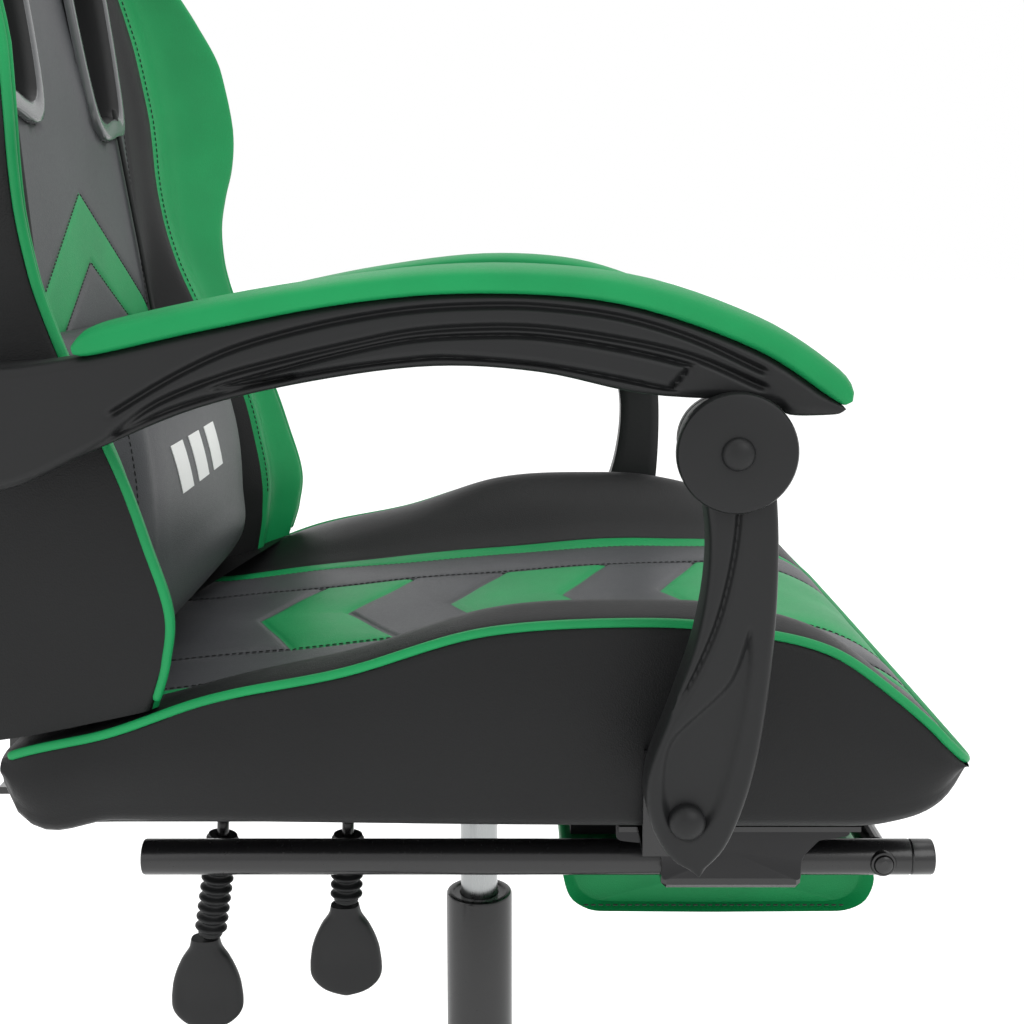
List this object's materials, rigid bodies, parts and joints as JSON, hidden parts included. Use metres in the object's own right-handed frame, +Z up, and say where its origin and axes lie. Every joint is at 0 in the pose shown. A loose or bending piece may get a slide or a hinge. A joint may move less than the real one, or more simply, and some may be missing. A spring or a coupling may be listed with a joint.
{
  "type": "gaming chair",
  "caption": "High-back racing-style gaming chair with linked armrests that follow the recline, gas lift, caster star base and a pull-out flip footrest under the seat.",
  "frame": {"origin": "middle of the chair's bounding box, on the floor", "axes": "+Z up, +X the way the sitter faces, +Y to the sitter's left"},
  "size_m": [0.7584, 0.685, 1.368],
  "materials": {
    "base_plastic": "fine-grained black nylon",
    "black_plastic": "satin black moulded plastic",
    "gloss_plastic": "polished black plastic",
    "caster_tyre": "hard black nylon wheel",
    "black_steel": "gloss black powder coat",
    "silver_steel": "bright ground steel",
    "board": "plywood stained black",
    "black_leather": "black imitation leather, fine grain",
    "grey_leather": "dark grey imitation leather, fine grain",
    "green_leather": "green imitation leather, fine grain"
  },
  "bodies": {
    "base": {"star_base": "base_plastic", "column_tube": "black_steel", "column_bushing": "black_plastic", "thrust_bearing": "silver_steel", "rod_clip": "silver_steel"},
    "caster_swivel_1": {"caster_hood_1": "base_plastic"},
    "caster_wheel_1": {"caster_wheels_1": "caster_tyre"},
    "caster_swivel_2": {"caster_hood_2": "base_plastic"},
    "caster_wheel_2": {"caster_wheels_2": "caster_tyre"},
    "caster_swivel_3": {"caster_hood_3": "base_plastic"},
    "caster_wheel_3": {"caster_wheels_3": "caster_tyre"},
    "caster_swivel_4": {"caster_hood_4": "base_plastic"},
    "caster_wheel_4": {"caster_wheels_4": "caster_tyre"},
    "caster_swivel_5": {"caster_hood_5": "base_plastic"},
    "caster_wheel_5": {"caster_wheels_5": "caster_tyre"},
    "column_swivel": {"piston_rod": "silver_steel"},
    "seat": {"gas_cylinder": "silver_steel", "mechanism": "black_steel", "seat_board": "board", "seat_cushion": "black_leather", "rear_hinge_bar": "black_steel", "recline_pin_left": "silver_steel", "recline_pin_right": "silver_steel", "side_bracket_left": "black_steel", "side_bracket_right": "black_steel", "support_bolt_left": "black_steel", "support_bolt_right": "black_steel"},
    "height_lever": {"height_lever": "black_steel", "height_boot": "black_plastic", "height_paddle": "black_plastic"},
    "tilt_lever": {"tilt_lever": "black_steel", "tilt_boot": "black_plastic", "tilt_paddle": "black_plastic"},
    "release": {"release_pin": "silver_steel"},
    "back": {"back_cushion": "black_leather", "back_bracket_left": "black_steel", "back_bracket_right": "black_steel", "harness_trim_left": "gloss_plastic", "harness_trim_right": "gloss_plastic", "lumbar_cushion": "grey_leather", "head_cushion": "black_leather", "arm_rear_bolt_left": "black_steel", "arm_rear_bolt_right": "black_steel"},
    "arm_left": {"arm_body_left": "black_plastic", "arm_pad_left": "green_leather"},
    "support_left": {"arm_support_left": "black_plastic", "pivot_disc_left": "black_plastic", "disc_bolt_left": "black_plastic"},
    "arm_right": {"arm_body_right": "black_plastic", "arm_pad_right": "green_leather"},
    "support_right": {"arm_support_right": "black_plastic", "pivot_disc_right": "black_plastic", "disc_bolt_right": "black_plastic"},
    "footrest_rails": {"footrest_rail_left": "black_steel", "footrest_rail_right": "black_steel", "footrest_axle": "black_steel"},
    "footrest": {"footrest_pad": "green_leather", "footrest_board": "black_plastic"}
  },
  "joints": [
    {"name": "caster_swivel_1", "type": "hinge", "parent": "base", "child": "caster_swivel_1", "pos_m": [0.0393, 0.3, 0.06], "axis": [0, 0, 1], "continuous": true},
    {"name": "caster_roll_1", "type": "hinge", "parent": "caster_swivel_1", "child": "caster_wheel_1", "pos_m": [0.0393, 0.284, 0.0275], "axis": [1, 0, 0], "continuous": true},
    {"name": "caster_swivel_2", "type": "hinge", "parent": "base", "child": "caster_swivel_2", "pos_m": [-0.24602, 0.09271, 0.06], "axis": [0, 0, 1], "continuous": true},
    {"name": "caster_roll_2", "type": "hinge", "parent": "caster_swivel_2", "child": "caster_wheel_2", "pos_m": [-0.23291, 0.10188, 0.0275], "axis": [-0.5736, 0.8192, 0], "continuous": true},
    {"name": "caster_swivel_3", "type": "hinge", "parent": "base", "child": "caster_swivel_3", "pos_m": [-0.13704, -0.24271, 0.06], "axis": [0, 0, 1], "continuous": true},
    {"name": "caster_roll_3", "type": "hinge", "parent": "caster_swivel_3", "child": "caster_wheel_3", "pos_m": [-0.14504, -0.22885, 0.0275], "axis": [-0.866, -0.5, 0], "continuous": true},
    {"name": "caster_swivel_4", "type": "hinge", "parent": "base", "child": "caster_swivel_4", "pos_m": [0.21564, -0.24271, 0.06], "axis": [0, 0, 1], "continuous": true},
    {"name": "caster_roll_4", "type": "hinge", "parent": "caster_swivel_4", "child": "caster_wheel_4", "pos_m": [0.21978, -0.25816, 0.0275], "axis": [0.9659, 0.2588, 0], "continuous": true},
    {"name": "caster_swivel_5", "type": "hinge", "parent": "base", "child": "caster_swivel_5", "pos_m": [0.32462, 0.09271, 0.06], "axis": [0, 0, 1], "continuous": true},
    {"name": "caster_roll_5", "type": "hinge", "parent": "caster_swivel_5", "child": "caster_wheel_5", "pos_m": [0.33847, 0.08471, 0.0275], "axis": [0.5, 0.866, 0], "continuous": true},
    {"name": "seat_swivel", "type": "hinge", "parent": "base", "child": "column_swivel", "pos_m": [0.0393, 0, 0.08], "axis": [0, 0, 1], "continuous": true},
    {"name": "seat_lift", "type": "slide", "parent": "column_swivel", "child": "seat", "axis": [0, 0, 1], "range_m": [-0.08, 0]},
    {"name": "height_lever_pull", "type": "hinge", "parent": "seat", "child": "height_lever", "pos_m": [-0.0407, -0.04, 0.472], "axis": [-1, 0, 0], "range_deg": [0, 6], "stiffness_Nm_per_rad": 8, "springref_deg": -1.72},
    {"name": "tilt_lever_pull", "type": "hinge", "parent": "seat", "child": "tilt_lever", "pos_m": [-0.1207, -0.04, 0.472], "axis": [-1, 0, 0], "range_deg": [0, 6], "stiffness_Nm_per_rad": 8, "springref_deg": -1.72},
    {"name": "release_press", "type": "slide", "parent": "seat", "child": "release", "axis": [0, 0, -1], "range_m": [0, 0.0032], "stiffness_N_per_m": 300},
    {"name": "recline", "type": "hinge", "parent": "seat", "child": "back", "pos_m": [-0.2427, 0, 0.538], "axis": [0, -1, 0], "range_deg": [0, 45]},
    {"name": "arm_pivot_left", "type": "hinge", "parent": "back", "child": "arm_left", "pos_m": [-0.2227, 0.295, 0.735], "axis": [0, -1, 0], "range_deg": [-45, 0]},
    {"name": "support_pivot_left", "type": "hinge", "parent": "seat", "child": "support_left", "pos_m": [0.1563, 0.31, 0.529], "axis": [0, -1, 0], "range_deg": [0, 45]},
    {"name": "arm_pivot_right", "type": "hinge", "parent": "back", "child": "arm_right", "pos_m": [-0.2227, -0.295, 0.735], "axis": [0, -1, 0], "range_deg": [-45, 0]},
    {"name": "support_pivot_right", "type": "hinge", "parent": "seat", "child": "support_right", "pos_m": [0.1563, -0.31, 0.529], "axis": [0, -1, 0], "range_deg": [0, 45]},
    {"name": "footrest_slide", "type": "slide", "parent": "seat", "child": "footrest_rails", "axis": [1, 0, 0], "range_m": [0, 0.22]},
    {"name": "footrest_flip", "type": "hinge", "parent": "footrest_rails", "child": "footrest", "pos_m": [0.2908, 0, 0.456], "axis": [0, -1, 0], "range_deg": [0, 160]}
  ],
  "couplings": [
    {"joint": "release_press", "follows": "height_lever_pull", "m_per_rad": 0.0286},
    {"joint": "arm_pivot_left", "follows": "recline", "ratio": -1},
    {"joint": "support_pivot_left", "follows": "recline", "ratio": 1},
    {"joint": "arm_pivot_right", "follows": "recline", "ratio": -1},
    {"joint": "support_pivot_right", "follows": "recline", "ratio": 1}
  ]
}
